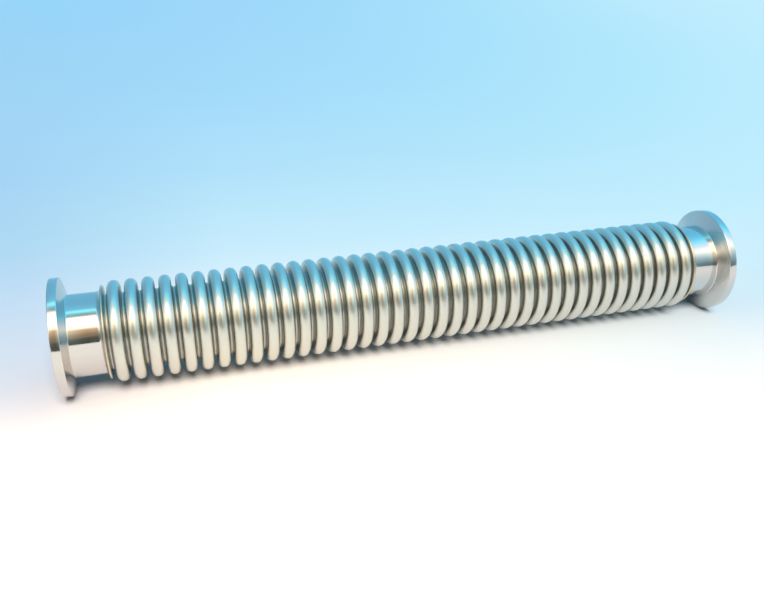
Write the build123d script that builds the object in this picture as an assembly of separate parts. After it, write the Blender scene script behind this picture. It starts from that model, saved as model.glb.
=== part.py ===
"""Vacuum bellows hose: a hydroformed metal bellows between two small quick-clamp flanges.

The hose lies along X on the rims of its two flanges, with +Z up. The origin is on the surface that
it lies on, under the middle of the hose. Every piece is a body of revolution about the hose's own
axis. Each is drawn once as its section, in (x, radius) from the centre of the left sealing face,
turned a full circle, and then set down in the part's frame.

    left_flange, right_flange        rim, clamping taper, neck and weld lip, turned from one bar
    bellows_tube                     thin corrugated wall, with a flat end wall against each lip
    left_weld_bead, right_weld_bead  edge weld that joins a lip to the end wall beside it
"""

import os
from math import radians, tan

from build123d import *

# ---- Driving dimensions, in millimetres and degrees ----

overall_length = 250.0  # between the two sealing faces
bore_diameter = 25.0  # clear passage through the necks and the bellows

# Flange and neck
flange_diameter = 40.0
rim_thickness = 3.0  # straight part of the rim, in front of the clamping taper
clamp_taper_angle = 15.0  # between the flange's back and its sealing face
edge_break = 0.3  # radius on the rim's two outer edges
seat_shoulder = 0.6  # step that stops the centring ring, from the bore out to the ring's seat
seat_depth = 3.0
seat_mouth_chamfer = 0.25
neck_wall = 1.5
neck_length = 16.0  # sealing face to the face of the weld lip
neck_root_fillet = 0.5  # between the clamping taper and the neck

# Weld lip and bead
lip_height = 1.5  # above the neck's outside
lip_thickness = 0.6
lip_land = 0.05  # straight part of the lip's back, above the fillet that rises from the neck
bead_height = 0.4  # above the lip's edge

# Bellows
wall_thickness = 0.25
convolution_height = 4.45  # root to crest, both on the outside
crest_radius = 2.1  # outside of the crest's half circle
root_radius = 0.67  # outside of the root's half circle, before a whole number is fitted in

# ---- Worked out from the driving dimensions ----

bore_radius = bore_diameter / 2
seat_radius = bore_radius + seat_shoulder
flange_radius = flange_diameter / 2
neck_radius = bore_radius + neck_wall
lip_radius = neck_radius + lip_height
lip_start = neck_length - lip_thickness
taper_end = rim_thickness + (flange_radius - neck_radius) * tan(radians(clamp_taper_angle))

# A whole number of convolutions stands between the lips, and the gaps take up what is left over.
bellows_start = neck_length
bellows_end = overall_length - neck_length
folded_length = bellows_end - bellows_start - 2 * wall_thickness
nominal_pitch = 2 * (crest_radius + root_radius)
convolution_count = round((folded_length - 2 * root_radius) / nominal_pitch)
gap_width = (folded_length - convolution_count * 2 * crest_radius) / (convolution_count + 1)
fitted_root_radius = gap_width / 2
pitch = 2 * crest_radius + gap_width
first_root_x = bellows_start + wall_thickness + fitted_root_radius
root_centre_radius = bore_radius + wall_thickness + fitted_root_radius
crest_centre_radius = bore_radius + wall_thickness + convolution_height - crest_radius


def turned(section):
    """The solid that a section makes when it is turned about the axis, set down in the frame."""
    return Pos(-overall_length / 2, 0, flange_radius) * revolve(section, Axis.X)


def at_right_end(piece):
    """The left end's piece turned end for end, at the right end of the hose."""
    return Rot(0, 0, 180) * piece


def corner(section, x, radius):
    """The section's corner at (x, radius)."""
    return section.vertices().sort_by_distance(Vector(x, radius, 0))[0]


def left_end_flange():
    """Flange with its neck and weld lip, bored through and with a seat for the centring ring."""
    outline = Polyline(
        (0, seat_radius),
        (0, flange_radius),
        (rim_thickness, flange_radius),
        (taper_end, neck_radius),
        (lip_start, neck_radius),
        (lip_start, lip_radius),
        (neck_length, lip_radius),
        (neck_length, bore_radius),
        (seat_depth, bore_radius),
        (seat_depth, seat_radius),
        close=True,
    )
    section = make_face(outline)
    front_edge = corner(section, 0, flange_radius)
    back_edge = corner(section, rim_thickness, flange_radius)
    section = fillet([front_edge, back_edge], edge_break)
    section = fillet(corner(section, taper_end, neck_radius), neck_root_fillet)
    section = fillet(corner(section, lip_start, neck_radius), lip_height - lip_land)
    section = chamfer(corner(section, 0, seat_radius), seat_mouth_chamfer)
    return turned(section)


def left_end_weld_bead():
    """Rounded bead over the edges of the weld lip and of the bellows' end wall."""
    bead_end = bellows_start + wall_thickness
    middle = (lip_start + bead_end) / 2
    seat = Line((bead_end, lip_radius), (lip_start, lip_radius))
    crown = ThreePointArc(
        (lip_start, lip_radius), (middle, lip_radius + bead_height), (bead_end, lip_radius)
    )
    return turned(make_face([seat, crown]))


def half_circle(x, radius, size):
    """Half circle about (x, radius) in section. A positive size makes a crest, a negative a root."""
    reach = abs(size)
    return ThreePointArc((x - reach, radius), (x, radius + size), (x + reach, radius))


def wall_side(inset):
    """One side of the corrugated wall in section, from the first root to the last.

    inset is how far this side lies under the outside: 0, or the wall's thickness for the inside.
    """
    root = fitted_root_radius + inset
    crest = crest_radius - inset
    side = [half_circle(first_root_x, root_centre_radius, -root)]
    for n in range(convolution_count):
        crest_x = first_root_x + (n + 0.5) * pitch
        root_x = first_root_x + (n + 1) * pitch
        rise = crest_x - crest
        fall = crest_x + crest
        side.append(Line((rise, root_centre_radius), (rise, crest_centre_radius)))
        side.append(half_circle(crest_x, crest_centre_radius, crest))
        side.append(Line((fall, crest_centre_radius), (fall, root_centre_radius)))
        side.append(half_circle(root_x, root_centre_radius, -root))
    return side


def end_wall(lip_x, gap_x):
    """Flat end wall in section, from its side on the lip, over its edge, to its side on the gap."""
    return [
        Line((lip_x, root_centre_radius), (lip_x, lip_radius)),
        Line((lip_x, lip_radius), (gap_x, lip_radius)),
        Line((gap_x, lip_radius), (gap_x, root_centre_radius)),
    ]


def corrugated_tube():
    """Bellows of one even wall, with its two end walls against the weld lips."""
    section = make_face(
        wall_side(0)
        + end_wall(bellows_end, bellows_end - wall_thickness)
        + wall_side(wall_thickness)
        + end_wall(bellows_start, bellows_start + wall_thickness)
    )
    return turned(section)


left_flange = left_end_flange()
left_weld_bead = left_end_weld_bead()
pieces = {
    "left_flange": left_flange,
    "right_flange": at_right_end(left_flange),
    "bellows_tube": corrugated_tube(),
    "left_weld_bead": left_weld_bead,
    "right_weld_bead": at_right_end(left_weld_bead),
}

os.makedirs("parts", exist_ok=True)
for name, solid in pieces.items():
    export_step(solid, f"parts/{name}.step")

print(f"{convolution_count} convolutions, {pitch:.4f} mm apart, with gaps of {gap_width:.4f} mm")
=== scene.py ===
from math import cos, pi, radians, sin, tan

import bmesh
import bpy
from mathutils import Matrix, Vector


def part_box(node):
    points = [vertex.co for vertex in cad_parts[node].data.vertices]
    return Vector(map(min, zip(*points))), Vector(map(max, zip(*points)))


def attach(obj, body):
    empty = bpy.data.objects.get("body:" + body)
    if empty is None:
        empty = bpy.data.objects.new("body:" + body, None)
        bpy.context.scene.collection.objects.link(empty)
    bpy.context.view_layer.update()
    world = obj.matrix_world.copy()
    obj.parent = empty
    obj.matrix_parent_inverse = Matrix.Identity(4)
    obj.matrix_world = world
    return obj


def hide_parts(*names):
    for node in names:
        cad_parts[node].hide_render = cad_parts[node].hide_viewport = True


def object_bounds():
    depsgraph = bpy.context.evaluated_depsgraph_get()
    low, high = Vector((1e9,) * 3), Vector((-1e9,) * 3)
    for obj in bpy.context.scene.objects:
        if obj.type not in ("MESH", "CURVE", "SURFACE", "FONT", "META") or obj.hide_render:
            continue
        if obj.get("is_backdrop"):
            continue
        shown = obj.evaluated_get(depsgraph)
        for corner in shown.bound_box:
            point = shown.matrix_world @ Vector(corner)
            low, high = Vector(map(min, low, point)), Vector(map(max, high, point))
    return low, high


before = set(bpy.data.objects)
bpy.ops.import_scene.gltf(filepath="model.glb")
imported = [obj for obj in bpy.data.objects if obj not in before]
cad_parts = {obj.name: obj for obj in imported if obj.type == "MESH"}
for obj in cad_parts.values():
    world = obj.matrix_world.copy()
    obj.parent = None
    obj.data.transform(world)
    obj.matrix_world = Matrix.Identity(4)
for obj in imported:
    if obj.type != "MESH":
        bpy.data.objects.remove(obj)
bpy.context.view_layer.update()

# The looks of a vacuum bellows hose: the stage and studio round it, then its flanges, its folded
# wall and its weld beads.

mm = 0.001

# ---- Camera ----
# A stills camera stands in front of the hose's left end and looks down along it. A small shift of
# the lens sets the hose low and to the left in the picture.

camera_data = bpy.data.cameras.new("camera")
camera_data.lens = 39.74
camera_data.sensor_width = 36.0
camera_data.shift_x = -0.0320
camera_data.shift_y = -0.0077
camera = bpy.data.objects.new("camera", camera_data)
camera.location = (-87.51 * mm, -273.95 * mm, 145.08 * mm)
camera.rotation_euler = (radians(90 - 23.51), 0, radians(-17.02))
bpy.context.scene.collection.objects.link(camera)
bpy.context.scene.camera = camera
bpy.context.scene.view_settings.view_transform = "Standard"

# ---- Floor ----
# A sheet of smooth matt card that the hose lies on. It is cream white in front of the hose and runs
# out to a pale blue behind it and past its ends. Its tones hold painted light too: a bright pool in
# front of the hose that falls off behind it and past its ends.

floor_reach = 6.0
floor_roughness = 0.9
floor_light = (2.506, 2.827, 2.904)  # about the light on the open card, in red, green and blue
floor_left = [  # metres behind the hose, and about how bright the card looks past its left end
    (-0.080, (1.22, 1.19, 1.10)),
    (-0.050, (1.22, 1.18, 1.10)),
    (-0.025, (1.10, 1.06, 1.04)),
    (-0.008, (0.90, 0.91, 0.95)),
    (0.010, (0.77, 0.82, 0.91)),
    (0.070, (0.58, 0.745, 0.915)),
    (0.150, (0.42, 0.69, 0.895)),
    (0.300, (0.375, 0.655, 0.905)),
    (1.000, (0.31, 0.65, 0.92)),
    (1.500, (0.30, 0.67, 0.95)),
]
floor_middle = [
    (-0.030, (1.25, 1.23, 1.12)),
    (0.010, (1.20, 1.18, 1.10)),
    (0.045, (0.85, 0.95, 1.03)),
    (0.120, (0.555, 0.835, 0.97)),
    (0.270, (0.43, 0.75, 0.96)),
    (0.580, (0.355, 0.69, 0.955)),
    (1.400, (0.335, 0.67, 0.955)),
]
floor_right = [
    (-1.000, (0.75, 0.85, 0.88)),
    (-0.300, (0.865, 0.96, 1.00)),
    (-0.120, (1.08, 1.08, 1.06)),
    (-0.060, (1.00, 1.03, 1.02)),
    (-0.035, (0.86, 0.96, 1.00)),
    (-0.010, (0.66, 0.86, 0.98)),
    (0.050, (0.60, 0.865, 0.99)),
    (0.120, (0.53, 0.85, 0.99)),
    (0.300, (0.45, 0.82, 0.985)),
    (1.200, (0.405, 0.86, 0.985)),
]
floor_fan = (-0.09, -0.27)  # the place in front of the hose that the card's shades fan out from
floor_fan_least = 0.15  # nearer to that place than this, in metres, they draw together no more
floor_places = (-0.16, 0.08, 0.90)  # metres to the right for each metre behind the fan's place
floor_soft_from = 0.13  # past here, from the middle out, the shades stretch
floor_soft = 9.0  # how fast they stretch, for each square metre


def new_material(name):
    """An empty node material, with its tree and its principled shader."""
    material = bpy.data.materials.new(name)
    material.use_nodes = True
    tree = material.node_tree
    return material, tree, tree.nodes["Principled BSDF"]


def put_mesh(name, data, *materials):
    """A finished mesh as an object of its own, at the origin."""
    for material in materials:
        data.materials.append(material)
    piece = bpy.data.objects.new(name, data)
    bpy.context.scene.collection.objects.link(piece)
    return piece


def math_node(tree, operation, first, second=None):
    """A math node's result. Each input is a socket or a number."""
    node = tree.nodes.new("ShaderNodeMath")
    node.operation = operation
    for value, socket in zip((first, second), node.inputs):
        if isinstance(value, bpy.types.NodeSocket):
            tree.links.new(value, socket)
        elif value is not None:
            socket.default_value = value
    return node.outputs[0]


def colour_ramp(tree, value, stops, interpolation="LINEAR"):
    """The colour at a value, from stops of (value, colour) in rising order."""
    low, high = stops[0][0], stops[-1][0]
    ramp = tree.nodes.new("ShaderNodeValToRGB")
    ramp.color_ramp.interpolation = interpolation
    elements = ramp.color_ramp.elements
    elements.remove(elements[0])
    for count, (place, colour) in enumerate(stops):
        element = elements[0] if count == 0 else elements.new(1.0)
        element.position = (place - low) / (high - low)
        element.color = (*colour, 1.0)
    tree.links.new(map_range(tree, value, low, high), ramp.inputs["Fac"])
    return ramp.outputs["Color"]


def mix_colours(tree, share, first, second):
    """Two colours mixed by the second one's share."""
    node = tree.nodes.new("ShaderNodeMix")
    node.data_type = "RGBA"
    tree.links.new(share, node.inputs["Factor"])
    colours = [socket for socket in node.inputs if socket.type == "RGBA"]
    tree.links.new(first, colours[0])
    tree.links.new(second, colours[1])
    return next(socket for socket in node.outputs if socket.type == "RGBA")


def map_range(tree, value, low, high, to_low=0.0, to_high=1.0):
    """The value carried from one range to another, and held at its ends."""
    node = tree.nodes.new("ShaderNodeMapRange")
    tree.links.new(value, node.inputs["Value"])
    node.inputs["From Min"].default_value = low
    node.inputs["From Max"].default_value = high
    node.inputs["To Min"].default_value = to_low
    node.inputs["To Max"].default_value = to_high
    return node.outputs["Result"]


def split_position(tree):
    """The place on a piece as three separate values."""
    place = tree.nodes.new("ShaderNodeTexCoord").outputs["Object"]
    split = tree.nodes.new("ShaderNodeSeparateXYZ")
    tree.links.new(place, split.inputs["Vector"])
    return split.outputs


def card_stops(stops):
    """Stops of the card's colour, painted light included, from stops of how bright it looks in the
    light.
    """
    coloured = []
    for place, bright in stops:
        coloured.append((place, [seen / light for seen, light in zip(bright, floor_light)]))
    return coloured


def card_material():
    """Matt card whose shades, painted light among them, run back from the camera and fan out to
    both sides.
    """
    material, tree, shader = new_material("matt_card")
    split = split_position(tree)
    fan_x, fan_y = floor_fan
    ahead = math_node(tree, "ABSOLUTE", math_node(tree, "SUBTRACT", split["Y"], fan_y))
    ahead = math_node(tree, "MAXIMUM", ahead, floor_fan_least)
    across = math_node(tree, "DIVIDE", math_node(tree, "SUBTRACT", split["X"], fan_x), ahead)
    past = math_node(tree, "SUBTRACT", math_node(tree, "ABSOLUTE", split["X"]), floor_soft_from)
    past = math_node(tree, "MAXIMUM", past, 0.0)
    stretch = math_node(tree, "MULTIPLY", math_node(tree, "MULTIPLY", past, past), floor_soft)
    behind = math_node(tree, "DIVIDE", split["Y"], math_node(tree, "ADD", stretch, 1.0))
    # Painted light: the card's tones carry a bright pool in front of the hose that fades behind it
    # and past its ends.
    card_tone_and_light = colour_ramp(tree, behind, card_stops(floor_left), "B_SPLINE")
    for count, stops in enumerate((floor_middle, floor_right)):
        share = map_range(tree, across, floor_places[count], floor_places[count + 1])
        shade = colour_ramp(tree, behind, card_stops(stops), "B_SPLINE")
        card_tone_and_light = mix_colours(tree, share, card_tone_and_light, shade)
    tree.links.new(card_tone_and_light, shader.inputs["Base Color"])
    shader.inputs["Roughness"].default_value = floor_roughness
    shader.inputs["Specular IOR Level"].default_value = 0.0
    return material


card = bpy.data.meshes.new("card_floor")
corners = [(-1, -1), (1, -1), (1, 1), (-1, 1)]
card.from_pydata([(x * floor_reach, y * floor_reach, 0) for x, y in corners], [], [(0, 1, 2, 3)])
put_mesh("card_floor", card, card_material())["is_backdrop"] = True

# ---- Studio light ----
# A broad blue backdrop stands behind and above the hose. A large softbox hangs in front, warm and
# bright to the left and cooler to the right, over a dark room, and a lamp behind a grid lights the
# card alone. Each table is a slice of this light, from far left to far right.

studio_far_left = [  # degrees forward from straight up, and the light that comes from there
    (-180, (0.34, 0.62, 0.88)),
    (-90, (0.50, 0.76, 0.98)),
    (-65, (0.20, 0.50, 0.75)),
    (-10, (0.20, 0.50, 0.72)),
    (20, (1.60, 1.60, 1.45)),
    (34, (2.60, 2.40, 2.00)),
    (46, (2.40, 2.15, 1.70)),
    (58, (1.00, 0.85, 0.65)),
    (70, (0.40, 0.36, 0.30)),
    (90, (0.16, 0.18, 0.18)),
    (180, (0.10, 0.10, 0.10)),
]
studio_left = [
    (-180, (0.30, 0.58, 0.84)),
    (-96, (0.33, 0.75, 1.06)),
    (-80, (0.25, 0.71, 1.04)),
    (-30, (0.24, 0.71, 1.09)),
    (-14, (0.28, 0.81, 1.18)),
    (-8, (0.30, 0.96, 1.30)),
    (-4, (0.50, 1.63, 1.86)),
    (0, (0.50, 1.63, 1.86)),
    (4, (0.38, 1.01, 1.26)),
    (8, (0.34, 0.60, 0.74)),
    (12, (0.40, 0.60, 0.60)),
    (17, (2.40, 2.11, 1.67)),
    (22, (3.80, 3.36, 2.70)),
    (40, (3.80, 3.36, 2.70)),
    (47, (2.20, 1.88, 1.35)),
    (52, (0.90, 0.64, 0.38)),
    (59, (0.72, 0.47, 0.28)),
    (64, (0.45, 0.33, 0.20)),
    (72, (0.30, 0.24, 0.18)),
    (76, (0.12, 0.12, 0.09)),
    (90, (0.09, 0.10, 0.08)),
    (180, (0.10, 0.10, 0.09)),
]
studio_middle = [
    (-180, (0.30, 0.58, 0.84)),
    (-96, (0.31, 0.84, 1.22)),
    (-80, (0.22, 0.80, 1.22)),
    (-30, (0.20, 0.80, 1.28)),
    (-8, (0.20, 1.04, 1.46)),
    (-2, (0.32, 1.42, 1.82)),
    (4, (0.32, 1.24, 1.68)),
    (10, (0.42, 1.02, 1.34)),
    (16, (0.90, 1.20, 1.21)),
    (22, (1.80, 1.78, 1.63)),
    (36, (2.30, 2.15, 1.85)),
    (46, (2.60, 2.40, 1.90)),
    (54, (2.30, 2.20, 1.70)),
    (61, (1.60, 1.65, 1.28)),
    (68, (1.00, 1.12, 0.92)),
    (76, (0.58, 0.70, 0.60)),
    (84, (0.28, 0.40, 0.39)),
    (90, (0.20, 0.28, 0.30)),
    (180, (0.10, 0.10, 0.09)),
]
studio_right = [
    (-180, (0.30, 0.58, 0.84)),
    (-96, (0.31, 0.84, 1.15)),
    (-80, (0.24, 0.80, 1.18)),
    (-40, (0.21, 0.77, 1.25)),
    (-14, (0.24, 0.96, 1.40)),
    (-2, (0.32, 1.22, 1.76)),
    (4, (0.42, 1.36, 1.98)),
    (16, (0.79, 1.42, 1.85)),
    (24, (1.10, 1.44, 1.67)),
    (30, (1.60, 1.68, 1.77)),
    (42, (1.80, 1.85, 1.80)),
    (49, (1.30, 1.48, 1.44)),
    (56, (0.90, 1.12, 1.17)),
    (66, (0.50, 0.75, 0.84)),
    (75, (0.31, 0.48, 0.55)),
    (82, (0.19, 0.32, 0.36)),
    (90, (0.14, 0.24, 0.28)),
    (180, (0.10, 0.10, 0.09)),
]
studio_far_right = [
    (-180, (0.30, 0.60, 0.90)),
    (-96, (0.31, 0.84, 1.18)),
    (-40, (0.20, 0.75, 1.15)),
    (0, (0.30, 1.00, 1.35)),
    (20, (1.00, 1.30, 1.45)),
    (42, (1.40, 1.60, 1.60)),
    (54, (0.80, 1.05, 1.12)),
    (66, (0.50, 0.80, 0.92)),
    (90, (0.28, 0.56, 0.70)),
    (180, (0.10, 0.10, 0.10)),
]
studio_places = (-0.65, -0.10, 0.28, 0.56, 0.85)  # how far right a ray points for each table
studio_strength = 0.91
seen_backdrop = [  # how far back a look points, and the backdrop seen there
    (-0.5, (0.90, 0.93, 0.95)),
    (0.0, (0.78, 0.87, 0.95)),
    (0.3, (0.45, 0.75, 0.96)),
    (0.6, (0.34, 0.69, 0.95)),
]


def studio_world():
    """The studio's light, and the plain backdrop that the camera sees instead of it."""
    world = bpy.data.worlds.new("studio")
    world.use_nodes = True
    tree = world.node_tree
    split = split_position(tree)
    forward = math_node(tree, "MULTIPLY", split["Y"], -1.0)
    turn = math_node(tree, "ARCTAN2", forward, split["Z"])
    angle = math_node(tree, "DEGREES", turn)
    light = colour_ramp(tree, angle, studio_far_left)
    further = (studio_left, studio_middle, studio_right, studio_far_right)
    for count, stops in enumerate(further):
        share = map_range(tree, split["X"], studio_places[count], studio_places[count + 1])
        light = mix_colours(tree, share, light, colour_ramp(tree, angle, stops))

    background = tree.nodes["Background"]
    tree.links.new(light, background.inputs["Color"])
    background.inputs["Strength"].default_value = studio_strength
    seen = tree.nodes.new("ShaderNodeBackground")
    tree.links.new(colour_ramp(tree, split["Y"], seen_backdrop), seen.inputs["Color"])
    is_camera_ray = tree.nodes.new("ShaderNodeLightPath").outputs["Is Camera Ray"]
    mix = tree.nodes.new("ShaderNodeMixShader")
    tree.links.new(is_camera_ray, mix.inputs["Fac"])
    tree.links.new(background.outputs[0], mix.inputs[1])
    tree.links.new(seen.outputs[0], mix.inputs[2])
    tree.links.new(mix.outputs[0], tree.nodes["World Output"].inputs["Surface"])
    return world


bpy.context.scene.world = studio_world()

front_light_height = 47  # degrees over the floor
front_light_width = 25  # degrees across
front_light_energy = 7.6
front_light_colour = (0.97, 1.0, 0.98)
front_light_data = bpy.data.lights.new("front_light", "SUN")
front_light_data.angle = radians(front_light_width)
front_light_data.energy = front_light_energy
front_light_data.color = front_light_colour
front_light = bpy.data.objects.new("front_light", front_light_data)
front_light.rotation_euler = (radians(90 - front_light_height), 0, 0)
front_light.visible_glossy = False  # it lights the card only, as a lamp does behind a grid
bpy.context.scene.collection.objects.link(front_light)

# ---- Flanges ----
# Two small quick-clamp flanges of stainless steel, each turned with its neck and weld lip from one
# bar. A seat bored in the face holds the centring ring. The clamp grips the taper behind the rim.

flange_around = 192  # faces round each flange
rim_radius = 20.0 * mm
rim_thickness = 3.0 * mm
clamp_taper_angle = 15
clamp_taper = radians(clamp_taper_angle)
edge_break = 0.3 * mm
seat_radius = 13.1 * mm
seat_depth = 3.0 * mm
seat_chamfer = 0.25 * mm
bore_radius = 12.5 * mm
neck_radius = 14.0 * mm
neck_length = 16.0 * mm
neck_fillet = 0.5 * mm
lip_radius = 15.5 * mm
lip_thickness = 0.6 * mm
lip_fillet = 1.45 * mm
bore_break = 0.1 * mm
steel_colour = (0.66, 0.64, 0.615)
steel_roughness = (0.06, 0.12)  # from the brightest to the dullest band of marks
taper_dulling = 0.13  # the taper and the lip are faced across, and come out duller
bore_dulling = 0.28  # and the seat and the bore, which the tool reaches into, duller still
edge_steps = 5  # straight pieces in the section's broken edges, and then in its two fillets
neck_fillet_steps = 6
lip_fillet_steps = 10
join_distance = 0.001 * mm
sharp_from = 35  # degrees: an edge that turns by less is smooth
lathe_marks = (5200, 3)  # a noise texture's scale and detail
lathe_marks_strength = 0.25
lathe_marks_depth = 0.004 * mm
lathe_bands = (900, 2)
noise_spread = (0.3, 0.7)  # a noise texture's values mostly lie between these

left_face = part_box("left_flange")[0].x
right_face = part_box("right_flange")[1].x
axis_height = rim_radius


def arc(x, radius, size, start, end, steps):
    """Points on an arc about (x, radius) in section, from start to end, in degrees.

    At 0 degrees a point lies towards the hose's other end, and at 90 it lies outwards.
    """
    turn = [radians(start + (end - start) * step / steps) for step in range(steps + 1)]
    return [(x + size * cos(a), radius + size * sin(a)) for a in turn]


def flange_section():
    """Closed section of the left flange, as (x, radius) from the middle of its sealing face."""
    taper_x = rim_thickness + (rim_radius - neck_radius) * tan(clamp_taper)
    back_reach = edge_break * tan((pi / 2 - clamp_taper) / 2)
    root_reach = neck_fillet * tan((pi / 2 - clamp_taper) / 2)
    lip_start = neck_length - lip_thickness
    section = [(0, seat_radius + seat_chamfer)]
    edge_radius = rim_radius - edge_break
    section += arc(edge_break, edge_radius, edge_break, 180, 90, edge_steps)
    back_x = rim_thickness - back_reach
    section += arc(back_x, edge_radius, edge_break, 90, clamp_taper_angle, edge_steps)
    root_x = taper_x + root_reach
    root_radius = neck_radius + neck_fillet
    root_start = 180 + clamp_taper_angle
    section += arc(root_x, root_radius, neck_fillet, root_start, 270, neck_fillet_steps)
    lip_x = lip_start - lip_fillet
    section += arc(lip_x, neck_radius + lip_fillet, lip_fillet, 270, 360, lip_fillet_steps)
    section += [(lip_start, lip_radius), (neck_length, lip_radius)]
    section += [(neck_length, bore_radius + bore_break), (neck_length - bore_break, bore_radius)]
    section += [(seat_depth + bore_break, bore_radius), (seat_depth, bore_radius + bore_break)]
    section += [(seat_depth, seat_radius), (seat_chamfer, seat_radius)]
    return section


def close_and_shade(bm, name, sharp_angle):
    """The finished mesh: joined, facing outwards, and smooth but for its true edges."""
    bmesh.ops.remove_doubles(bm, verts=bm.verts, dist=join_distance)
    bmesh.ops.recalc_face_normals(bm, faces=bm.faces)
    for face in bm.faces:
        face.smooth = True
    for edge in bm.edges:
        edge.smooth = edge.calc_face_angle(0) < radians(sharp_angle)
    data = bpy.data.meshes.new(name)
    bm.to_mesh(data)
    bm.free()
    return data


def turned_mesh(name, sections, sharp_angle):
    """Closed sections of (x, radius) points, one for each step round the hose's axis, joined up."""
    bm = bmesh.new()
    rings = []
    for step, section in enumerate(sections):
        turn = 2 * pi * step / len(sections)
        ring = [(x, radius * sin(turn), axis_height + radius * cos(turn)) for x, radius in section]
        rings.append([bm.verts.new(point) for point in ring])
    for ring, following in zip(rings, rings[1:] + rings[:1]):
        for corner in range(len(ring)):
            before = corner - 1
            bm.faces.new((ring[before], ring[corner], following[corner], following[before]))
    return close_and_shade(bm, name, sharp_angle)


def distance_from_axis(tree, split):
    """The distance of a place on a piece from the hose's axis."""
    above = math_node(tree, "SUBTRACT", split["Z"], axis_height)
    across = math_node(tree, "MULTIPLY", split["Y"], split["Y"])
    squared = math_node(tree, "ADD", across, math_node(tree, "MULTIPLY", above, above))
    return math_node(tree, "SQRT", squared)


def noise_value(tree, place, scale, detail):
    """A noise texture's value at a place."""
    noise = tree.nodes.new("ShaderNodeTexNoise")
    noise.inputs["Scale"].default_value = scale
    noise.inputs["Detail"].default_value = detail
    tree.links.new(place, noise.inputs["Vector"])
    return noise.outputs["Fac"]


def add_bump(tree, shader, height, strength, depth):
    """Fine relief on a shader, as deep as the height value says."""
    bump = tree.nodes.new("ShaderNodeBump")
    bump.inputs["Strength"].default_value = strength
    bump.inputs["Distance"].default_value = depth
    tree.links.new(height, bump.inputs["Height"])
    tree.links.new(bump.outputs["Normal"], shader.inputs["Normal"])


def turned_steel():
    """Bright stainless steel with the tool's fine circular marks."""
    material, tree, shader = new_material("turned_steel")
    split = split_position(tree)
    radius = distance_from_axis(tree, split)
    lathe_place = tree.nodes.new("ShaderNodeCombineXYZ")
    tree.links.new(split["X"], lathe_place.inputs["X"])
    tree.links.new(radius, lathe_place.inputs["Y"])
    marks = noise_value(tree, lathe_place.outputs[0], *lathe_marks)
    add_bump(tree, shader, marks, lathe_marks_strength, lathe_marks_depth)
    bands = noise_value(tree, lathe_place.outputs[0], *lathe_bands)
    roughness = map_range(tree, bands, *noise_spread, *steel_roughness)

    rim_back = -(left_face + rim_thickness)
    off_middle = math_node(tree, "ABSOLUTE", split["X"])
    off_rim = map_range(tree, off_middle, rim_back, rim_back - edge_break, 0.0, taper_dulling)
    off_neck = map_range(tree, radius, neck_radius, neck_radius + neck_fillet)
    roughness = math_node(tree, "ADD", roughness, math_node(tree, "MULTIPLY", off_rim, off_neck))
    bored = map_range(tree, radius, seat_radius, seat_radius + seat_chamfer, bore_dulling, 0.0)
    roughness = math_node(tree, "ADD", roughness, bored)
    tree.links.new(roughness, shader.inputs["Roughness"])
    shader.inputs["Base Color"].default_value = (*steel_colour, 1.0)
    shader.inputs["Metallic"].default_value = 1.0
    return material


turned_steel_material = turned_steel()
for side, face, direction in (("left", left_face, 1), ("right", right_face, -1)):
    section = [(face + direction * x, radius) for x, radius in flange_section()]
    mesh = turned_mesh(f"{side}_flange_turned", [section] * flange_around, sharp_from)
    flange = put_mesh(f"{side}_flange_turned", mesh, turned_steel_material)
    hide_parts(f"{side}_flange")
    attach(flange, "root")

# ---- Bellows ----
# One thin stainless tube whose wall is pressed out into deep rounded folds, all alike, between two
# flat end walls. The folds are what lets the hose bend.

bellows_around = 72  # faces round the wall, and then straight pieces in its half circles
crest_steps = 12
root_steps = 6
inner_crest_steps = 6
inner_root_steps = 4
wall_thickness = 0.25 * mm
convolution_height = 4.45 * mm
crest_size = 2.1 * mm
root_size = 0.67 * mm
crest_colour = (0.675, 0.67, 0.615)
root_shade_colour = (0.54, 0.54, 0.51)  # painted shade: the wall is darker down in the roots, where shade falls between the folds
crest_colour_from = 0.4  # share of a crest's size, out from its centre, where its colour is full
formed_roughness = (0.285, 0.32)
formed_mottle = (260, 4)  # a noise texture's scale and detail
formed_grain = (2200, 2)
formed_grain_strength = 0.1
formed_grain_depth = 0.003 * mm
fold_join_distance = 0.002 * mm

bellows_low, bellows_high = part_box("bellows_tube")
crest_centre = bore_radius + wall_thickness + convolution_height - crest_size
folded_length = bellows_high.x - bellows_low.x - 2 * wall_thickness
fold_count = round((folded_length - 2 * root_size) / (2 * (crest_size + root_size)))
gap_width = (folded_length - fold_count * 2 * crest_size) / (fold_count + 1)
fold_pitch = 2 * crest_size + gap_width
root_centre = bore_radius + wall_thickness + gap_width / 2
first_root = bellows_low.x + wall_thickness + gap_width / 2


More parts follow.
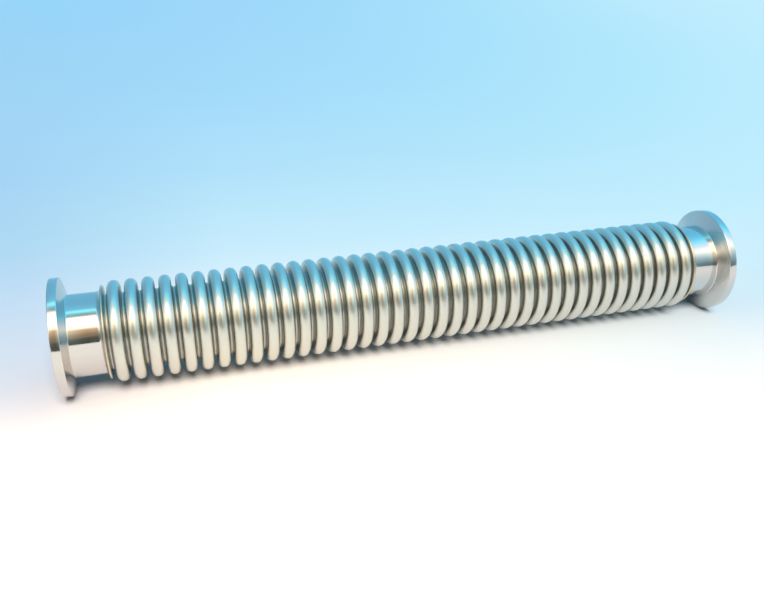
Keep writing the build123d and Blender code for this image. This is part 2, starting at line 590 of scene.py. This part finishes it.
def strip_group():
    """Node group for one strip of wall, turned about the axis.

    Over the strip's own length, from -1/2 to 1/2, it lies at Middle + |Arc| sin(180 u) along the
    hose and at Radius + Arc cos(180 u) + Rise u from the axis. Arc above 0 is a crest's half
    circle, below 0 a root's, and at 0 the strip is a flat ring, Rise wide. Run lengthens it
    along the hose.
    """
    group = bpy.data.node_groups.new("turned_strip", "GeometryNodeTree")
    for name in ("Middle", "Radius", "Arc", "Rise", "Run"):
        group.interface.new_socket(name, in_out="INPUT", socket_type="NodeSocketFloat")
    for name in ("Steps", "Around"):
        group.interface.new_socket(name, in_out="INPUT", socket_type="NodeSocketInt")
    group.interface.new_socket("Strip", in_out="OUTPUT", socket_type="NodeSocketGeometry")
    given = group.nodes.new("NodeGroupInput").outputs
    grid = group.nodes.new("GeometryNodeMeshGrid")
    grid.inputs["Size X"].default_value = 1.0
    grid.inputs["Size Y"].default_value = 1.0
    group.links.new(math_node(group, "ADD", given["Steps"], 1), grid.inputs["Vertices X"])
    group.links.new(math_node(group, "ADD", given["Around"], 1), grid.inputs["Vertices Y"])

    place = group.nodes.new("ShaderNodeSeparateXYZ")
    group.links.new(group.nodes.new("GeometryNodeInputPosition").outputs[0], place.inputs[0])
    along = math_node(group, "MULTIPLY", place.outputs["X"], pi)
    turn = math_node(group, "MULTIPLY", place.outputs["Y"], 2 * pi)

    reach = math_node(group, "ABSOLUTE", given["Arc"])
    bow = math_node(group, "MULTIPLY", reach, math_node(group, "SINE", along))
    run = math_node(group, "MULTIPLY", given["Run"], place.outputs["X"])
    x = math_node(group, "ADD", given["Middle"], math_node(group, "ADD", bow, run))
    crown = math_node(group, "MULTIPLY", given["Arc"], math_node(group, "COSINE", along))
    rise = math_node(group, "MULTIPLY", given["Rise"], place.outputs["X"])
    radius = math_node(group, "ADD", given["Radius"], math_node(group, "ADD", crown, rise))

    point = group.nodes.new("ShaderNodeCombineXYZ")
    group.links.new(x, point.inputs["X"])
    across = math_node(group, "MULTIPLY", radius, math_node(group, "SINE", turn))
    above = math_node(group, "MULTIPLY", radius, math_node(group, "COSINE", turn))
    group.links.new(across, point.inputs["Y"])
    group.links.new(above, point.inputs["Z"])
    shape = group.nodes.new("GeometryNodeSetPosition")
    group.links.new(grid.outputs["Mesh"], shape.inputs["Geometry"])
    group.links.new(point.outputs[0], shape.inputs["Position"])
    group.links.new(shape.outputs[0], group.nodes.new("NodeGroupOutput").inputs["Strip"])
    return group


def bellows_group():
    """Node group for the whole wall: one fold outside and inside, repeated, and the end walls."""
    group = bpy.data.node_groups.new("bellows_wall", "GeometryNodeTree")
    lengths = (
        "Fold Pitch", "Gap Width", "Crest Size", "Crest Centre", "Root Centre", "First Root",
        "Wall Thickness", "End Wall Edge", "Axis Height",
    )
    for name in lengths:
        group.interface.new_socket(name, in_out="INPUT", socket_type="NodeSocketFloat")
    counts = (
        "Fold Count", "Around", "Crest Steps", "Root Steps",
        "Inner Crest Steps", "Inner Root Steps",
    )
    for name in counts:
        group.interface.new_socket(name, in_out="INPUT", socket_type="NodeSocketInt")
    group.interface.new_socket("Material", in_out="INPUT", socket_type="NodeSocketMaterial")
    group.interface.new_socket("Wall", in_out="OUTPUT", socket_type="NodeSocketGeometry")
    given = group.nodes.new("NodeGroupInput").outputs
    strips = strip_group()

    def strip(middle, radius, arc_size=0.0, rise=0.0, run=0.0, steps=1):
        node = group.nodes.new("GeometryNodeGroup")
        node.node_tree = strips
        values = (middle, radius, arc_size, rise, run, steps, given["Around"])
        for value, socket in zip(values, node.inputs):
            if isinstance(value, bpy.types.NodeSocket):
                group.links.new(value, socket)
            else:
                socket.default_value = value
        return node.outputs["Strip"]

    def joined(parts):
        node = group.nodes.new("GeometryNodeJoinGeometry")
        for part in parts:
            group.links.new(part, node.inputs[0])
        return node.outputs[0]

    def half(value):
        return math_node(group, "MULTIPLY", value, 0.5)

    def moved(place, length, direction):
        """A place along the hose, moved by a length to the left for -1 or to the right for 1."""
        return math_node(group, "ADD", place, math_node(group, "MULTIPLY", length, direction))

    half_pitch = half(given["Fold Pitch"])
    half_gap = half(given["Gap Width"])
    wall = given["Wall Thickness"]
    height = math_node(group, "SUBTRACT", given["Crest Centre"], given["Root Centre"])
    flank_radius = math_node(group, "ADD", given["Root Centre"], half(height))

    def root(middle, inset, steps):
        """Root of one skin. Its arc is below 0, so it bows in towards the axis."""
        size = math_node(group, "ADD", half_gap, inset)
        hollow = math_node(group, "MULTIPLY", size, -1)
        return strip(middle, given["Root Centre"], hollow, steps=steps)

    def fold(inset, crest_steps_socket, root_steps_socket):
        """Root, flank, crest and flank of one skin, with the root's middle at 0."""
        crest = math_node(group, "SUBTRACT", given["Crest Size"], inset)
        rise_x = math_node(group, "SUBTRACT", half_pitch, crest)
        fall_x = math_node(group, "ADD", half_pitch, crest)
        return [
            root(0.0, inset, root_steps_socket),
            strip(rise_x, flank_radius, rise=height),
            strip(half_pitch, given["Crest Centre"], crest, steps=crest_steps_socket),
            strip(fall_x, flank_radius, rise=height),
        ]

    outside = fold(0.0, given["Crest Steps"], given["Root Steps"])
    inside = fold(wall, given["Inner Crest Steps"], given["Inner Root Steps"])
    line = group.nodes.new("GeometryNodeMeshLine")
    start, step = (group.nodes.new("ShaderNodeCombineXYZ") for _ in range(2))
    group.links.new(given["First Root"], start.inputs["X"])
    group.links.new(given["Fold Pitch"], step.inputs["X"])
    group.links.new(given["Fold Count"], line.inputs["Count"])
    group.links.new(start.outputs[0], line.inputs["Start Location"])
    group.links.new(step.outputs[0], line.inputs["Offset"])
    folds = group.nodes.new("GeometryNodeInstanceOnPoints")
    group.links.new(line.outputs["Mesh"], folds.inputs["Points"])
    group.links.new(joined(outside + inside), folds.inputs["Instance"])

    run = math_node(group, "MULTIPLY", given["Fold Count"], given["Fold Pitch"])
    last_root = math_node(group, "ADD", given["First Root"], run)
    ends = [
        root(last_root, 0.0, given["Root Steps"]),
        root(last_root, wall, given["Inner Root Steps"]),
    ]
    edge_height = math_node(group, "SUBTRACT", given["End Wall Edge"], given["Root Centre"])
    edge_middle = math_node(group, "ADD", given["Root Centre"], half(edge_height))
    for end_root, outwards in ((given["First Root"], -1), (last_root, 1)):
        gap_side = moved(end_root, half_gap, outwards)
        lip_side = moved(gap_side, wall, outwards)
        middle = moved(gap_side, half(wall), outwards)
        ends.append(strip(gap_side, edge_middle, rise=edge_height))
        ends.append(strip(lip_side, edge_middle, rise=edge_height))
        ends.append(strip(middle, given["End Wall Edge"], run=wall))

    realize = group.nodes.new("GeometryNodeRealizeInstances")
    group.links.new(joined([folds.outputs[0], *ends]), realize.inputs[0])
    weld = group.nodes.new("GeometryNodeMergeByDistance")
    weld.inputs["Distance"].default_value = fold_join_distance
    group.links.new(realize.outputs[0], weld.inputs["Geometry"])
    lift = group.nodes.new("GeometryNodeTransform")
    up = group.nodes.new("ShaderNodeCombineXYZ")
    group.links.new(given["Axis Height"], up.inputs["Z"])
    group.links.new(up.outputs[0], lift.inputs["Translation"])
    group.links.new(weld.outputs[0], lift.inputs["Geometry"])
    paint = group.nodes.new("GeometryNodeSetMaterial")
    group.links.new(lift.outputs[0], paint.inputs["Geometry"])
    group.links.new(given["Material"], paint.inputs["Material"])
    group.links.new(paint.outputs[0], group.nodes.new("NodeGroupOutput").inputs["Wall"])
    return group


def formed_steel():
    """Thin stainless steel, bright as pressed, with a soft grain, faint forming marks and painted
    shade down in the roots.
    """
    material, tree, shader = new_material("formed_steel")
    place = tree.nodes.new("ShaderNodeTexCoord").outputs["Object"]
    mottle = noise_value(tree, place, *formed_mottle)
    roughness = map_range(tree, mottle, *noise_spread, *formed_roughness)
    tree.links.new(roughness, shader.inputs["Roughness"])
    grain = noise_value(tree, place, *formed_grain)
    add_bump(tree, shader, grain, formed_grain_strength, formed_grain_depth)
    # Painted shade: the colour darkens from the crests down into the roots, where shade falls.
    radius = distance_from_axis(tree, split_position(tree))
    crest_colour_radius = crest_centre + crest_colour_from * crest_size
    stops = [(root_centre, root_shade_colour), (crest_colour_radius, crest_colour)]
    tree.links.new(colour_ramp(tree, radius, stops), shader.inputs["Base Color"])
    shader.inputs["Metallic"].default_value = 1.0
    return material


def folded_wall():
    """The bellows as a plain mesh, made by its node group."""
    holder = put_mesh("bellows_holder", bpy.data.meshes.new("bellows_holder"))
    modifier = holder.modifiers.new("folds", "NODES")
    modifier.node_group = bellows_group()
    values = {
        "Fold Pitch": fold_pitch,
        "Gap Width": gap_width,
        "Crest Size": crest_size,
        "Crest Centre": crest_centre,
        "Root Centre": root_centre,
        "First Root": first_root,
        "Wall Thickness": wall_thickness,
        "End Wall Edge": lip_radius,
        "Axis Height": axis_height,
        "Fold Count": fold_count,
        "Around": bellows_around,
        "Crest Steps": crest_steps,
        "Root Steps": root_steps,
        "Inner Crest Steps": inner_crest_steps,
        "Inner Root Steps": inner_root_steps,
        "Material": formed_steel(),
    }
    for socket in modifier.node_group.interface.items_tree:
        if socket.in_out == "INPUT":
            modifier[socket.identifier] = values[socket.name]
    graph = bpy.context.evaluated_depsgraph_get()
    plain = bpy.data.meshes.new_from_object(holder.evaluated_get(graph))
    bpy.data.objects.remove(holder)
    bm = bmesh.new()
    bm.from_mesh(plain)
    finished = close_and_shade(bm, "bellows_folds", sharp_from)
    for material in plain.materials:
        finished.materials.append(material)
    bpy.data.meshes.remove(plain)
    return finished


bellows = put_mesh("bellows_folds", folded_wall())
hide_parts("bellows_tube")
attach(bellows, "root")

# ---- Weld beads ----
# An edge weld runs round each end of the bellows and joins its flat end wall to the flange's lip.
# It is laid without filler, so it is a low rounded bead with fine even ripples and a faint straw
# tint.

bead_around = 480  # faces round each bead
bead_ripples = 120
bead_height = 0.4 * mm
ripple_height = 0.02 * mm
bead_steps = 8
bead_sharp_from = 50  # degrees
weld_roughness = 0.28
weld_tint_noise = (120, 3)  # a noise texture's scale and detail
weld_tints = [(0.3, (0.66, 0.61, 0.54)), (0.5, (0.68, 0.59, 0.45)), (0.7, (0.62, 0.49, 0.34))]


def bead_section(low_x, high_x, turn):
    """Section of a bead on its lip, at an angle round the axis. A ripple lowers its crown."""
    middle, half = (low_x + high_x) / 2, (high_x - low_x) / 2
    ripple = ripple_height * (0.5 - 0.5 * cos(bead_ripples * turn))
    across = [-1 + 2 * count / bead_steps for count in range(bead_steps + 1)]
    return [(middle + half * u, lip_radius + (bead_height - ripple) * (1 - u * u)) for u in across]


def weld_steel():
    """Bright weld metal with a straw tint that comes and goes round the bead."""
    material, tree, shader = new_material("weld_steel")
    place = tree.nodes.new("ShaderNodeTexCoord").outputs["Object"]
    tint = noise_value(tree, place, *weld_tint_noise)
    tree.links.new(colour_ramp(tree, tint, weld_tints), shader.inputs["Base Color"])
    shader.inputs["Roughness"].default_value = weld_roughness
    shader.inputs["Metallic"].default_value = 1.0
    return material


weld_material = weld_steel()
bead_turns = [2 * pi * step / bead_around for step in range(bead_around)]
for side in ("left", "right"):
    low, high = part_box(f"{side}_weld_bead")
    sections = [bead_section(low.x, high.x, turn) for turn in bead_turns]
    mesh = turned_mesh(f"{side}_weld_ripples", sections, bead_sharp_from)
    bead = put_mesh(f"{side}_weld_ripples", mesh, weld_material)
    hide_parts(f"{side}_weld_bead")
    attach(bead, "root")

# ---- Sizes ----

low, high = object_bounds()
